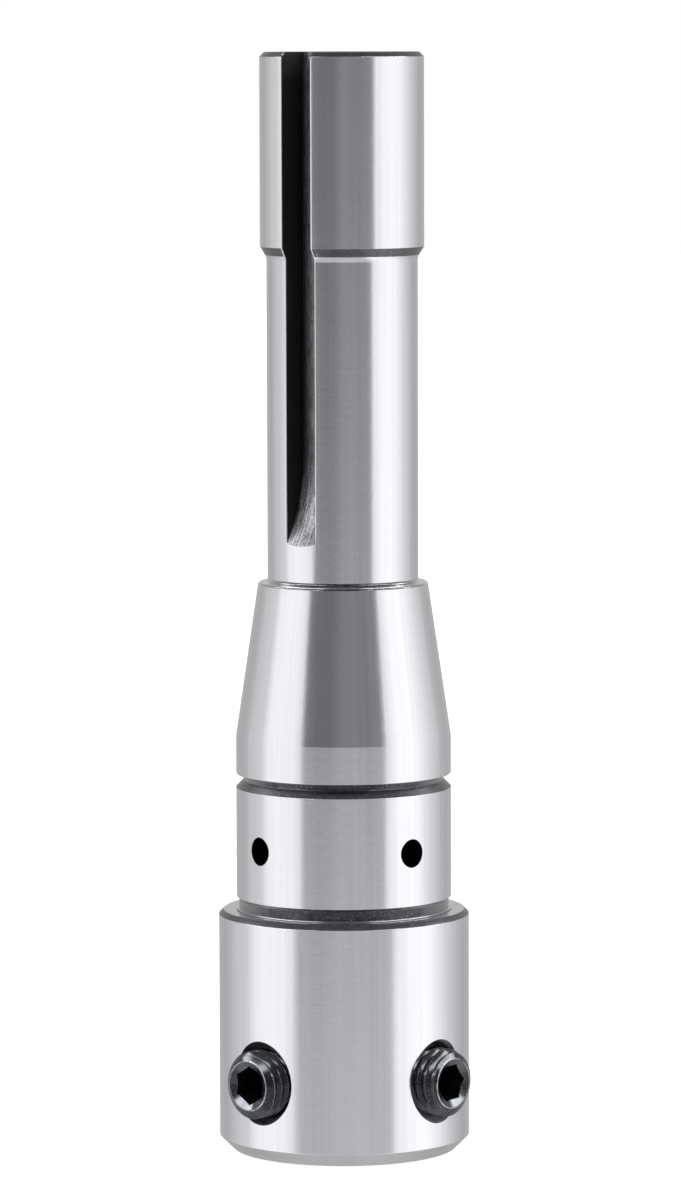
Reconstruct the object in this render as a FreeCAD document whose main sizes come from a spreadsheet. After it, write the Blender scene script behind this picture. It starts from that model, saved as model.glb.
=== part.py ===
import FreeCAD, Part
import math
import os
import Sketcher

# Annular cutter holder: a one-piece arbor with a 7/16-20 drawbar shank for a milling spindle and a
# clamping socket for a 19.05 mm cutter shank. It stands on its nose: the origin is the centre of the
# nose face, +Z runs up the spindle axis and the keyway faces -Y. Millimetres and degrees.

DRIVING_SIZES = [
    # Nose, from the nose face to the face that stops the coolant ring
    ("nose_diameter", 37.0),
    ("nose_length", 35.65),
    ("nose_bevel", 2.0),
    ("nose_top_bevel", 0.7),
    ("foot_ledge_width", 0.4),
    ("foot_ledge_rise", 0.2),
    # Seat of the coolant ring between its two grooves
    ("seat_diameter", 31.75),
    ("seat_length", 17.65),
    ("lower_groove_depth", 0.375),
    ("lower_groove_width", 1.6),
    ("upper_groove_depth", 1.075),
    ("upper_groove_width", 0.9),
    # Spindle taper and the land below it
    ("land_diameter", 31.75),
    ("land_length", 5.6),
    ("land_edge_break", 0.15),
    ("taper_angle", 16.85),
    ("shoulder_step", 1.3875),
    ("shoulder_edge_radius", 0.35),
    # Shank above the taper
    ("neck_relief", 0.9375),
    ("neck_length", 47.7),
    ("neck_foot_radius", 0.6),
    ("neck_head_radius", 0.8),
    ("collar_diameter", 24.1),
    ("collar_back_length", 1.6),
    ("collar_length", 28.4),
    ("collar_bevel", 0.72),
    # Keyway, milled down the shank by a disc cutter
    ("keyway_width", 5.0),
    ("keyway_depth", 4.7),
    ("keyway_full_length", 58.2),
    ("keyway_cutter_diameter", 44.0),
    # Tapped drawbar hole in the top
    ("drawbar_hole_diameter", 9.92),
    ("drawbar_hole_depth", 38.0),
    ("drawbar_mouth_bevel", 1.6),
    # Socket for the cutter shank
    ("cutter_shank_diameter", 19.05),
    ("cutter_shank_clearance", 0.01),
    ("socket_depth", 33.0),
    ("socket_bevel", 0.6),
    # Clamping screws and their tapped holes
    ("screw_height", 11.75),
    ("screw_bearing", -97.0),
    ("screw_spacing", 90.0),
    ("screw_diameter", 9.94),
    ("screw_clearance", 0.08),
    ("screw_length", 10.0),
    ("screw_stand_out", 2.8),
    ("screw_point_diameter", 7.0),
    ("screw_rim_diameter", 7.3),
    ("screw_rim_bevel", 0.9),
    ("screw_countersink_diameter", 12.4),
    ("hex_width", 5.0),
    ("hex_depth", 5.0),
    ("hex_mouth_diameter", 6.9),
    ("left_hex_turn", 0.0),
    ("right_hex_turn", -15.0),
    # Coolant drillings from the ring seat into the chamber
    ("coolant_hole_diameter", 4.1),
    ("coolant_hole_height", 45.4),
    ("coolant_hole_bearing", -106.4),
    # Chamber above the socket, its snap ring, plunger and spring
    ("chamber_diameter", 12.0),
    ("chamber_length", 59.0),
    ("ring_inset", 1.0),
    ("ring_groove_diameter", 12.5),
    ("ring_groove_width", 1.1),
    ("ring_thickness", 1.0),
    ("ring_wall", 1.4),
    ("ring_clearance", 0.05),
    ("ring_gap_width", 3.4),
    ("lug_diameter", 2.3),
    ("lug_hole_diameter", 1.0),
    ("plunger_clearance", 0.05),
    ("plunger_guide_length", 14.0),
    ("plunger_nose_diameter", 5.6),
    ("plunger_nose_length", 1.8),
    ("plunger_spigot_diameter", 6.4),
    ("plunger_spigot_length", 5.0),
    ("plunger_bevel", 0.5),
    ("spring_wire_diameter", 1.2),
    ("spring_mean_diameter", 9.0),
    ("spring_coils", 9.0),
    ("spring_ground_turns", 0.25),
    ("drill_point_angle", 118.0),
    ("cut_overrun", 2.0),
]

doc = FreeCAD.newDocument("annular_cutter_holder")


# Driving sizes
def make_sheet(rows):
    """Put every driving size in the sheet as a plain number with its own alias."""
    sheet = doc.addObject("Spreadsheet::Sheet", "sizes")
    for number, (alias, value) in enumerate(rows, start=1):
        sheet.set("A%d" % number, alias)
        sheet.set("B%d" % number, str(value))
        sheet.setAlias("B%d" % number, alias)
    doc.recompute()
    return sheet


sizes = make_sheet(DRIVING_SIZES)


def worth(formula):
    """The present value of a formula of driving sizes."""
    return float(sizes.evalExpression(formula))


# Sketch and feature helpers
def new_body(label):
    body = doc.addObject("PartDesign::Body", label)
    body.Label = label
    return body


def origin_feature(body, role):
    for feature in body.Origin.OriginFeatures:
        if feature.Role == role:
            return feature
    raise ValueError("no origin feature " + role)


def new_sketch(body, name, plane_role):
    sketch = body.newObject("Sketcher::SketchObject", name)
    sketch.AttachmentSupport = (origin_feature(body, plane_role), [""])
    sketch.MapMode = "FlatFace"
    return sketch


def turned_sketch(body, name, height, bearing):
    """A sketch whose horizontal axis points out from the spindle axis at a height and bearing."""
    sketch = new_sketch(body, name, "XZ_Plane")
    swing = FreeCAD.Rotation(FreeCAD.Vector(0, 1, 0), 1)
    sketch.AttachmentOffset = FreeCAD.Placement(FreeCAD.Vector(0, 0, 0), swing)
    sketch.setExpression("AttachmentOffset.Base.y", height)
    sketch.setExpression("AttachmentOffset.Rotation.Angle", bearing)
    return sketch


def tie(sketch, constraint, formula):
    """Add one dimension to a sketch and drive it by a formula of sheet sizes."""
    index = sketch.addConstraint(constraint)
    sketch.setExpression("Constraints[%d]" % index, formula)


def tie_point(sketch, geometry, position, point, across, up):
    """Place a sketch point by two formulas; the text 0 puts it on the sketch's own axis."""
    if across == "0":
        sketch.addConstraint(Sketcher.Constraint("PointOnObject", geometry, position, -2))
    else:
        tie(sketch, Sketcher.Constraint("DistanceX", geometry, position, point.x), across)
    if up == "0":
        sketch.addConstraint(Sketcher.Constraint("PointOnObject", geometry, position, -1))
    else:
        tie(sketch, Sketcher.Constraint("DistanceY", geometry, position, point.y), up)


def draw_outline(sketch, corners):
    """Close a loop of straight lines through corners that are each given by two formulas."""
    count = len(corners)
    turns = [2 * math.pi * index / count for index in range(count)]
    points = [FreeCAD.Vector(20 + 10 * math.cos(turn), 20 + 10 * math.sin(turn), 0) for turn in turns]
    for index in range(count):
        sketch.addGeometry(Part.LineSegment(points[index], points[(index + 1) % count]))
    for index in range(count):
        sketch.addConstraint(Sketcher.Constraint("Coincident", index, 2, (index + 1) % count, 1))
    for index, (across, up) in enumerate(corners):
        tie_point(sketch, index, 1, points[index], across, up)


def draw_circle(sketch, across, up, diameter):
    centre = FreeCAD.Vector(1, 1, 0)
    circle = sketch.addGeometry(Part.Circle(centre, FreeCAD.Vector(0, 0, 1), 1))
    tie_point(sketch, circle, 3, centre, across, up)
    tie(sketch, Sketcher.Constraint("Diameter", circle, 2), diameter)


def turn(body, kind, name, sketch, axis):
    """Turn a sketch a full circle about one of its own axes, as added or as removed material."""
    feature = body.newObject("PartDesign::" + kind, name)
    feature.Profile = sketch
    feature.ReferenceAxis = (sketch, [axis])
    feature.Angle = 360
    body.Tip = feature
    doc.recompute()
    return feature


def polar_copies(body, name, original, count, angle):
    """Repeat a feature about the body's own Z axis, over an angle given by a formula."""
    pattern = body.newObject("PartDesign::PolarPattern", name)
    pattern.Originals = [original]
    pattern.Axis = (origin_feature(body, "Z_Axis"), [""])
    pattern.Occurrences = count
    pattern.setExpression("Angle", angle)
    body.Tip = pattern
    doc.recompute()
    return pattern


def cut_across(body, name, sketch, width):
    """Cut a sketch's area out of the body, half the width to each side of the sketch."""
    pocket = body.newObject("PartDesign::Pocket", name)
    pocket.Profile = sketch
    pocket.SideType = "Symmetric"
    pocket.setExpression("Length", width)
    body.Tip = pocket
    doc.recompute()
    return pocket


def cut_down(body, name, sketch, depth):
    pocket = body.newObject("PartDesign::Pocket", name)
    pocket.Profile = sketch
    pocket.setExpression("Length", depth)
    body.Tip = pocket
    doc.recompute()
    return pocket


def rings_of_radius(shape, formula):
    """The names of the full circles of one radius about the Z axis, from the lowest up."""
    radius = worth(formula)
    found = []
    for number, edge in enumerate(shape.Edges, start=1):
        if edge.Curve.TypeId == "Part::GeomCircle" and abs(edge.Curve.Radius - radius) < 1e-4:
            found.append((edge.Curve.Center.z, "Edge%d" % number))
    return [name for height, name in sorted(found)]


def round_edge(body, name, edge, radius):
    base = body.Tip
    fillet = body.newObject("PartDesign::Fillet", name)
    fillet.Base = (base, [edge])
    fillet.setExpression("Radius", radius)
    body.Tip = fillet
    doc.recompute()
    return fillet


def total(*parts):
    return " + ".join(parts)


def half(alias):
    return "sizes.%s / 2" % alias


# Radii and depths that more than one outline, piece or cut depends on
neck_radius = half("collar_diameter") + " - sizes.neck_relief"
shoulder_radius = neck_radius + " + sizes.shoulder_step"
lower_groove_radius = half("seat_diameter") + " - sizes.lower_groove_depth"
upper_groove_radius = half("seat_diameter") + " - sizes.upper_groove_depth"
socket_radius = "sizes.cutter_shank_diameter / 2 + sizes.cutter_shank_clearance"
screw_hole_radius = "sizes.screw_diameter / 2 + sizes.screw_clearance"
plunger_radius = "sizes.chamber_diameter / 2 - sizes.plunger_clearance"
keyway_floor = neck_radius + " - sizes.keyway_depth"
drill_point_slope = "tan(90 - sizes.drill_point_angle / 2)"

# Heights up the spindle axis, each built on the one below
nose_top = "sizes.nose_length"
lower_groove_top = total(nose_top, "sizes.lower_groove_width")
seat_top = total(lower_groove_top, "sizes.seat_length")
upper_groove_top = total(seat_top, "sizes.upper_groove_width")
land_top = total(upper_groove_top, "sizes.land_length")
taper_length = "(sizes.land_diameter / 2 - (" + shoulder_radius + ")) / tan(sizes.taper_angle / 2)"
shoulder = total(land_top, taper_length)
neck_top = total(shoulder, "sizes.neck_length")
collar_foot = total(neck_top, "sizes.collar_back_length")
shank_top = total(collar_foot, "sizes.collar_length")
ring_groove_foot = "sizes.socket_depth + sizes.ring_inset"
plunger_seat = total(ring_groove_foot, "sizes.ring_thickness")
spring_foot = total(plunger_seat, "sizes.plunger_guide_length")
chamber_top = "sizes.socket_depth + sizes.chamber_length"
spring_length = "(" + chamber_top + " - (" + spring_foot + "))"
spring_pitch = spring_length + " / sizes.spring_coils"
spring_end = "sizes.spring_ground_turns * " + spring_pitch


# Arbor, turned and ground from one bar
def make_holder_body():
    body = new_body("holder_body")
    ledge_radius = lower_groove_radius + " + sizes.foot_ledge_width"
    ledge_top = nose_top + " + sizes.foot_ledge_rise"
    outside = new_sketch(body, "holder_outline", "XZ_Plane")
    draw_outline(outside, [
        ("0", "0"),
        (half("nose_diameter") + " - sizes.nose_bevel", "0"),
        (half("nose_diameter"), "sizes.nose_bevel"),
        (half("nose_diameter"), nose_top + " - sizes.nose_top_bevel"),
        (half("nose_diameter") + " - sizes.nose_top_bevel", nose_top),
        (ledge_radius, nose_top),
        (ledge_radius, ledge_top),
        (lower_groove_radius, ledge_top),
        (lower_groove_radius, lower_groove_top),
        (half("seat_diameter"), lower_groove_top + " + sizes.lower_groove_depth"),
        (half("seat_diameter"), seat_top + " - sizes.upper_groove_depth"),
        (upper_groove_radius, seat_top),
        (upper_groove_radius, upper_groove_top),
        (half("land_diameter") + " - sizes.land_edge_break", upper_groove_top),
        (half("land_diameter"), upper_groove_top + " + sizes.land_edge_break"),
        (half("land_diameter"), land_top),
        (shoulder_radius, shoulder),
        (neck_radius, shoulder),
        (neck_radius, neck_top),
        (half("collar_diameter"), collar_foot),
        (half("collar_diameter"), shank_top + " - sizes.collar_bevel"),
        (half("collar_diameter") + " - sizes.collar_bevel", shank_top),
        ("0", shank_top),
    ])
    turned = turn(body, "Revolution", "holder_turned", outside, "V_Axis")

    neck_foot = rings_of_radius(turned.Shape, neck_radius)[0]
    round_edge(body, "neck_foot_fillet", neck_foot, "sizes.neck_foot_radius")
    neck_head = rings_of_radius(body.Tip.Shape, neck_radius)[-1]
    round_edge(body, "neck_head_fillet", neck_head, "sizes.neck_head_radius")
    shoulder_ring = rings_of_radius(body.Tip.Shape, shoulder_radius)[0]
    round_edge(body, "shoulder_edge", shoulder_ring, "sizes.shoulder_edge_radius")

    make_socket_and_chamber(body)
    make_drawbar_hole(body)
    make_screw_holes(body)
    make_coolant_holes(body)
    make_keyway(body)
    return body


def make_socket_and_chamber(body):
    """The socket of the cutter shank with the plunger's chamber and its snap-ring groove above."""
    inside = new_sketch(body, "socket_outline", "XZ_Plane")
    draw_outline(inside, [
        ("0", "0"),
        (socket_radius + " + sizes.socket_bevel", "0"),
        (socket_radius, "sizes.socket_bevel"),
        (socket_radius, "sizes.socket_depth"),
        (half("chamber_diameter"), "sizes.socket_depth"),
        (half("chamber_diameter"), ring_groove_foot),
        (half("ring_groove_diameter"), ring_groove_foot),
        (half("ring_groove_diameter"), ring_groove_foot + " + sizes.ring_groove_width"),
        (half("chamber_diameter"), ring_groove_foot + " + sizes.ring_groove_width"),
        (half("chamber_diameter"), chamber_top),
        ("sizes.chamber_diameter / 4", chamber_top),
        ("0", chamber_top + " + sizes.chamber_diameter / 4 * " + drill_point_slope),
    ])
    turn(body, "Groove", "socket_bored", inside, "V_Axis")


def make_drawbar_hole(body):
    hole = new_sketch(body, "drawbar_outline", "XZ_Plane")
    hole_end = shank_top + " - sizes.drawbar_hole_depth"
    draw_outline(hole, [
        ("0", shank_top),
        (half("drawbar_hole_diameter") + " + sizes.drawbar_mouth_bevel", shank_top),
        (half("drawbar_hole_diameter"), shank_top + " - sizes.drawbar_mouth_bevel"),
        (half("drawbar_hole_diameter"), hole_end),
        ("0", hole_end + " - sizes.drawbar_hole_diameter / 2 * " + drill_point_slope),
    ])
    turn(body, "Groove", "drawbar_drilled", hole, "V_Axis")


def make_screw_holes(body):
    """Two tapped holes with 90 degree countersinks, square to each other and to the spindle axis."""
    hole = turned_sketch(body, "screw_hole_outline", "sizes.screw_height", "sizes.screw_bearing")
    mouth = half("screw_countersink_diameter")
    draw_outline(hole, [
        ("0", "0"),
        ("0", screw_hole_radius),
        (half("nose_diameter") + " - (" + mouth + " - (" + screw_hole_radius + "))", screw_hole_radius),
        (half("nose_diameter") + " + sizes.cut_overrun", mouth + " + sizes.cut_overrun"),
        (half("nose_diameter") + " + sizes.cut_overrun", "0"),
    ])
    drilled = turn(body, "Groove", "screw_hole_drilled", hole, "H_Axis")
    polar_copies(body, "screw_hole_pair", drilled, 2, "sizes.screw_spacing")


def make_coolant_holes(body):
    """Four drillings, a quarter turn apart, from the ring seat into the chamber."""
    hole = turned_sketch(body, "coolant_outline", "sizes.coolant_hole_height", "sizes.coolant_hole_bearing")
    draw_outline(hole, [
        ("0", "0"),
        ("0", half("coolant_hole_diameter")),
        (half("seat_diameter") + " + sizes.cut_overrun", half("coolant_hole_diameter")),
        (half("seat_diameter") + " + sizes.cut_overrun", "0"),
    ])
    drilled = turn(body, "Groove", "coolant_drilled", hole, "H_Axis")
    polar_copies(body, "coolant_set", drilled, 4, "360")


def make_keyway(body):
    """The slot that a disc cutter leaves: a straight floor that runs out in the cutter's own arc."""
    straight = new_sketch(body, "keyway_floor_outline", "YZ_Plane")
    last_centre = shank_top + " - sizes.keyway_full_length"
    outside = "-(" + half("collar_diameter") + " + sizes.cut_overrun)"
    floor = "-(" + keyway_floor + ")"
    draw_outline(straight, [
        (outside, last_centre),
        (floor, last_centre),
        (floor, shank_top + " + sizes.cut_overrun"),
        (outside, shank_top + " + sizes.cut_overrun"),
    ])
    cut_across(body, "keyway_floor_cut", straight, "sizes.keyway_width")
    runout = new_sketch(body, "keyway_runout_outline", "YZ_Plane")
    centre = "-(" + keyway_floor + " + sizes.keyway_cutter_diameter / 2)"
    draw_circle(runout, centre, last_centre, "sizes.keyway_cutter_diameter")
    cut_across(body, "keyway_runout_cut", runout, "sizes.keyway_width")


# Clamping screws
def make_set_screw(label, bearing, hex_turn):
    """A flat-point hexagon-socket set screw, made upright on its point and laid into its hole."""
    body = new_body(label)
    outline = new_sketch(body, label + "_outline", "XZ_Plane")
    draw_outline(outline, [
        ("0", "0"),
        (half("screw_point_diameter"), "0"),
        (half("screw_diameter"), "(sizes.screw_diameter - sizes.screw_point_diameter) / 2"),
        (half("screw_diameter"), "sizes.screw_length - sizes.screw_rim_bevel"),
        (half("screw_rim_diameter"), "sizes.screw_length"),
        ("0", "sizes.screw_length"),
    ])
    turn(body, "Revolution", label + "_turned", outline, "V_Axis")

    hexagon = new_sketch(body, label + "_hexagon", "XY_Plane")
    hexagon.setExpression("AttachmentOffset.Base.z", "sizes.screw_length")
    hexagon.setExpression("AttachmentOffset.Rotation.Angle", hex_turn)
    corner = "sizes.hex_width / 2 / cos(30)"
    side = "sizes.hex_width / 2"
    draw_outline(hexagon, [
        (corner, "0"),
        (corner + " / 2", side),
        ("-" + corner + " / 2", side),
        ("-" + corner, "0"),
        ("-" + corner + " / 2", "-" + side),
        (corner + " / 2", "-" + side),
    ])
    cut_down(body, label + "_socket", hexagon, "sizes.hex_depth")

    mouth = new_sketch(body, label + "_mouth", "XZ_Plane")
    draw_outline(mouth, [
        ("0", "sizes.screw_length"),
        (half("hex_mouth_diameter"), "sizes.screw_length"),
        ("0", "sizes.screw_length - sizes.hex_mouth_diameter / 2 * tan(30)"),
    ])
    turn(body, "Groove", label + "_countersink", mouth, "V_Axis")

    point_reach = half("nose_diameter") + " + sizes.screw_stand_out - sizes.screw_length"
    body.Placement = FreeCAD.Placement(FreeCAD.Vector(0, 0, 0), FreeCAD.Rotation(1, 90, 0))
    body.setExpression("Placement.Base.x", "(" + point_reach + ") * cos(" + bearing + ")")
    body.setExpression("Placement.Base.y", "(" + point_reach + ") * sin(" + bearing + ")")
    body.setExpression("Placement.Base.z", "sizes.screw_height")
    body.setExpression("Placement.Rotation.Yaw", bearing)
    body.setExpression("Placement.Rotation.Pitch", "90")
    body.setExpression("Placement.Rotation.Roll", "0")
    return body


# Plunger that pushes the pilot pin and the slug out of the cutter
def make_plunger():
    body = new_body("ejector_plunger")
    outline = new_sketch(body, "plunger_outline", "XZ_Plane")
    nose_foot = "sizes.plunger_nose_length"
    guide_top = total(nose_foot, "sizes.plunger_guide_length")
    spigot_top = total(guide_top, "sizes.plunger_spigot_length")
    draw_outline(outline, [
        ("0", "0"),
        (half("plunger_nose_diameter") + " - sizes.plunger_bevel", "0"),
        (half("plunger_nose_diameter"), "sizes.plunger_bevel"),
        (half("plunger_nose_diameter"), nose_foot),
        (plunger_radius, nose_foot),
        (plunger_radius, guide_top + " - sizes.plunger_bevel"),
        (plunger_radius + " - sizes.plunger_bevel", guide_top),
        (half("plunger_spigot_diameter"), guide_top),
        (half("plunger_spigot_diameter"), spigot_top + " - sizes.plunger_bevel"),
        (half("plunger_spigot_diameter") + " - sizes.plunger_bevel", spigot_top),
        ("0", spigot_top),
    ])
    turn(body, "Revolution", "plunger_turned", outline, "V_Axis")
    body.setExpression("Placement.Base.z", plunger_seat + " - sizes.plunger_nose_length")
    return body


# Coil spring between the plunger and the end of the chamber
def make_spring():
    """Wind the wire too long by a part of a turn at each end, then grind both ends flat."""
    coil = doc.addObject("Part::Helix", "spring_path")
    coil.setExpression("Radius", half("spring_mean_diameter"))
    coil.setExpression("Pitch", spring_pitch)
    coil.setExpression("Height", spring_length + " + 2 * " + spring_end)

    wire = doc.addObject("Part::Circle", "spring_wire")
    across_the_path = FreeCAD.Rotation(FreeCAD.Vector(1, 0, 0), 90)
    wire.setExpression("Radius", half("spring_wire_diameter"))
    wire.Placement = FreeCAD.Placement(FreeCAD.Vector(0, 0, 0), across_the_path)
    wire.setExpression("Placement.Base.x", half("spring_mean_diameter"))
    doc.recompute()

    wound = doc.addObject("Part::Sweep", "spring_wound")
    wound.Sections = [wire]
    wound.Spine = (coil, ["Edge1"])
    wound.Solid = True
    wound.Frenet = True

    between_ends = doc.addObject("Part::Cylinder", "spring_space")
    between_ends.setExpression("Radius", half("chamber_diameter"))
    between_ends.setExpression("Height", spring_length)
    between_ends.setExpression("Placement.Base.z", spring_end)

    spring = doc.addObject("Part::Common", "ejector_spring")
    spring.Base = wound
    spring.Tool = between_ends
    spring.Label = "ejector_spring"
    spring.setExpression("Placement.Base.z", spring_foot + " - " + spring_end)
    doc.recompute()
    return spring


# Snap ring that holds the plunger in its chamber
def make_retaining_ring():
    """A flat internal snap ring, open at the front, with a drilled lug at each end."""
    def disc(name, radius, across="0", along="0"):
        cylinder = doc.addObject("Part::Cylinder", name)
        cylinder.setExpression("Radius", radius)
        cylinder.setExpression("Height", "sizes.ring_thickness")
        cylinder.setExpression("Placement.Base.x", across)
        cylinder.setExpression("Placement.Base.y", along)
        return cylinder

    outer_radius = "(sizes.ring_groove_diameter / 2 - sizes.ring_clearance)"
    inner_radius = outer_radius + " - sizes.ring_wall"
    lug_across = "(sizes.ring_gap_width + sizes.lug_diameter) / 2"
    lug_along = "-(" + outer_radius + " - sizes.lug_diameter / 2 - sizes.ring_clearance)"

    hoop = doc.addObject("Part::Cut", "ring_hoop")
    hoop.Base = disc("ring_blank", outer_radius)
    hoop.Tool = disc("ring_window", inner_radius)

    gap = doc.addObject("Part::Box", "ring_gap")
    gap.setExpression("Length", "sizes.ring_gap_width + sizes.lug_diameter")
    gap.setExpression("Width", outer_radius)
    gap.setExpression("Height", "sizes.ring_thickness")
    gap.setExpression("Placement.Base.x", "-(sizes.ring_gap_width + sizes.lug_diameter) / 2")
    gap.setExpression("Placement.Base.y", "-" + outer_radius)
    open_hoop = doc.addObject("Part::Cut", "ring_open_hoop")
    open_hoop.Base = hoop
    open_hoop.Tool = gap

    lugs = doc.addObject("Part::MultiFuse", "ring_with_lugs")
    lugs.Shapes = [
        open_hoop,
        disc("lug_left", half("lug_diameter"), "-" + lug_across, lug_along),
        disc("lug_right", half("lug_diameter"), lug_across, lug_along),
    ]
    holes = doc.addObject("Part::MultiFuse", "lug_holes")
    holes.Shapes = [
        disc("lug_hole_left", half("lug_hole_diameter"), "-" + lug_across, lug_along),
        disc("lug_hole_right", half("lug_hole_diameter"), lug_across, lug_along),
    ]
    drilled = doc.addObject("Part::Cut", "ring_drilled")
    drilled.Base = lugs
    drilled.Tool = holes

    ring = doc.addObject("Part::Common", "retaining_ring")
    ring.Base = drilled
    ring.Tool = disc("ring_limit", outer_radius)
    ring.Label = "retaining_ring"
    ring.setExpression("Placement.Base.z", ring_groove_foot)
    doc.recompute()
    return ring


# Checks on the finished document
def check_document(parts):
    for item in doc.Objects:
        if "Invalid" in item.State or "Error" in item.State:
            raise RuntimeError("%s is %s" % (item.Name, item.State))
    for part in parts:
        if part.Shape.isNull() or not part.Shape.isValid():
            raise RuntimeError(part.Label + " has no valid shape")
        if len(part.Shape.Solids) != 1:
            raise RuntimeError(part.Label + " is not one solid")


def check_cuts(body):
    """Each groove, pocket and pattern of a body must take material away."""
    volume = None
    for feature in body.Group:
        if not feature.isDerivedFrom("PartDesign::Feature"):
            continue
        removes = feature.TypeId in ("PartDesign::Groove", "PartDesign::Pocket", "PartDesign::PolarPattern")
        if removes and not feature.Shape.Volume < volume - 1e-3:
            raise RuntimeError(feature.Name + " cuts nothing")
        volume = feature.Shape.Volume


screw_bearing = "sizes.screw_bearing"
parts = [
    make_holder_body(),
    make_set_screw("left_set_screw", screw_bearing, "sizes.left_hex_turn"),
    make_set_screw("right_set_screw", total(screw_bearing, "sizes.screw_spacing"), "sizes.right_hex_turn"),
    make_plunger(),
    make_spring(),
    make_retaining_ring(),
]
doc.recompute()
check_document(parts)
for part in parts:
    if part.TypeId == "PartDesign::Body":
        check_cuts(part)

os.makedirs("parts", exist_ok=True)
for part in parts:
    part.Shape.exportStep("parts/%s.step" % part.Label)
    box = part.Shape.BoundBox
    print("%-16s volume %9.1f  x %7.2f %7.2f  y %7.2f %7.2f  z %7.2f %7.2f" % (
        part.Label, part.Shape.Volume, box.XMin, box.XMax, box.YMin, box.YMax, box.ZMin, box.ZMax))
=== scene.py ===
import math

import bmesh
import bpy
from mathutils import Matrix, Vector


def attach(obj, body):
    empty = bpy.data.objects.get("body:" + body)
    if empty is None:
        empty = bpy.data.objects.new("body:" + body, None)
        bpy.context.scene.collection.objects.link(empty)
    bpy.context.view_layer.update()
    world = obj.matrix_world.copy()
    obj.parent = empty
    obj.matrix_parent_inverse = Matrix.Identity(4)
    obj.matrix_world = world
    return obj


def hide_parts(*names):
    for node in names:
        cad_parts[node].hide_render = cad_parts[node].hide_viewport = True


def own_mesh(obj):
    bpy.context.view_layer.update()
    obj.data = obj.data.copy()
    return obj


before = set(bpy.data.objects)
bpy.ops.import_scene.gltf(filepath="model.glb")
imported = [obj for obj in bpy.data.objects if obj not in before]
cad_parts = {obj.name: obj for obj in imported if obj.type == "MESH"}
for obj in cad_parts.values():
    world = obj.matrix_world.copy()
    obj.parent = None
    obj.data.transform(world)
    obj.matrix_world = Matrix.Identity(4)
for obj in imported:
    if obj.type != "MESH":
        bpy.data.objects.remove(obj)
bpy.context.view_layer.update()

# Annular cutter holder: the frame's solids with their ground, turned and blackened finishes, real
# threads on the set screws and in the drawbar hole, and the light and camera of the photograph.
# Lengths here are millimetres, turned into metres by MM where they reach Blender.
MM = 0.001

# Arbor, from the nose up; heights are above the nose face
NOSE_RADIUS = 18.5
NOSE_LENGTH = 35.65
NOSE_BEVEL = 2.0
NOSE_TOP_BEVEL = 0.7
LEDGE_WIDTH = 0.4
LEDGE_RISE = 0.2
SEAT_RADIUS = 15.875
SEAT_LENGTH = 17.65
LOWER_GROOVE_DEPTH = 0.375
LOWER_GROOVE_WIDTH = 1.6
UPPER_GROOVE_DEPTH = 1.075
UPPER_GROOVE_WIDTH = 0.9
LAND_RADIUS = 15.875
LAND_LENGTH = 5.6
LAND_EDGE_BREAK = 0.15
TAPER_HALF_ANGLE = math.radians(16.85 / 2)
COLLAR_RADIUS = 12.05
NECK_RADIUS = COLLAR_RADIUS - 0.9375
SHOULDER_RADIUS = NECK_RADIUS + 1.3875
SHOULDER_EDGE_RADIUS = 0.35
NECK_LENGTH = 47.7
NECK_FOOT_RADIUS = 0.6
NECK_HEAD_RADIUS = 1.6
COLLAR_BACK_LENGTH = 1.6
COLLAR_LENGTH = 28.4
COLLAR_BEVEL = 0.72
EDGE_BREAK = 0.1

# How far a cutting tool reaches beyond what it cuts
OVERSHOOT = 2.0

LOWER_GROOVE_TOP = NOSE_LENGTH + LOWER_GROOVE_WIDTH
SEAT_TOP = LOWER_GROOVE_TOP + SEAT_LENGTH
UPPER_GROOVE_TOP = SEAT_TOP + UPPER_GROOVE_WIDTH
LAND_TOP = UPPER_GROOVE_TOP + LAND_LENGTH
SHOULDER = LAND_TOP + (LAND_RADIUS - SHOULDER_RADIUS) / math.tan(TAPER_HALF_ANGLE)
NECK_TOP = SHOULDER + NECK_LENGTH
COLLAR_FOOT = NECK_TOP + COLLAR_BACK_LENGTH
SHANK_TOP = COLLAR_FOOT + COLLAR_LENGTH

# Socket, chamber and drawbar hole
SOCKET_RADIUS = 9.535
SOCKET_BEVEL = 0.6
SOCKET_DEPTH = 33.0
CHAMBER_RADIUS = 6.0
CHAMBER_TOP = SOCKET_DEPTH + 59.0
RING_GROOVE_RADIUS = 6.25
RING_GROOVE_FOOT = SOCKET_DEPTH + 1.0
RING_GROOVE_WIDTH = 1.1
DRILL_POINT_SLOPE = math.tan(math.radians(31))
DRAWBAR_THREAD_RADIUS = 4.96
DRAWBAR_THREAD_PITCH = 1.27
DRAWBAR_THREAD_DEPTH = 0.55
DRAWBAR_MOUTH_BEVEL = 1.6
DRAWBAR_DEPTH = 38.0

# Keyway
KEYWAY_WIDTH = 5.0
KEYWAY_FLOOR = NECK_RADIUS - 4.7
KEYWAY_FULL_LENGTH = 58.2
KEYWAY_CUTTER_RADIUS = 22.0
KEYWAY_CORNER_RADIUS = 0.15
KEYWAY_EDGE_BREAK = 0.2
KEYWAY_RUNOUT_LENGTH = 13.15
# Where the near-black floor, scale and painted shade, gives way to the run-out
KEYWAY_SCALE_AND_SHADE_FOOT = 86.0
KEYWAY_SCALE_AND_SHADE_HEAD = 105.0
# Where the painted light on the run-out's left side fades in, near its tip
KEYWAY_PAINTED_LIGHT_FOOT = 91.0
KEYWAY_PAINTED_LIGHT_HEAD = 93.2

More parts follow.
